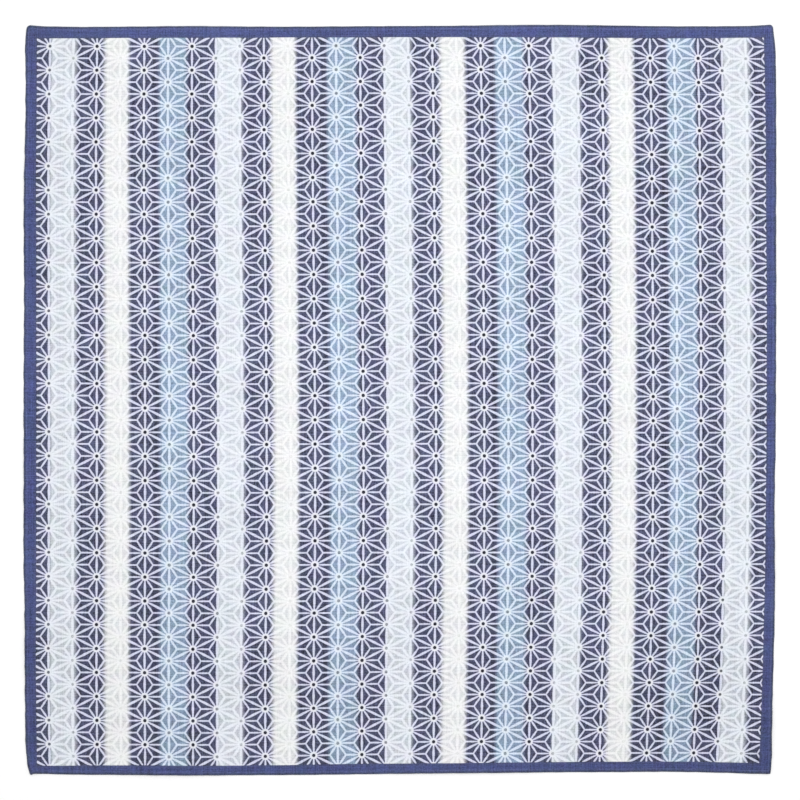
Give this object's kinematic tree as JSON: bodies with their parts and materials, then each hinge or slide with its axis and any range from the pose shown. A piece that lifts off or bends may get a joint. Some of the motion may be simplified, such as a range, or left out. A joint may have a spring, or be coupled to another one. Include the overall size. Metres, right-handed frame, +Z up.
{
  "type": "furoshiki",
  "caption": "Square cotton furoshiki, a wrapping cloth with a star-lattice and stripe print inside a plain border, laid out flat with a narrow hem.",
  "frame": {"origin": "middle of the underside, on the surface that the cloth lies on", "axes": "+Z up out of the printed face, X across the cloth square to the stripes, Y along the stripes"},
  "size_m": [0.7026, 0.7004, 0.004],
  "materials": {
    "printed_cotton": "matte plain-weave cotton, printed in navy, periwinkle and pale stripes"
  },
  "bodies": {
    "root": {"cloth": "printed_cotton"}
  },
  "joints": []
}
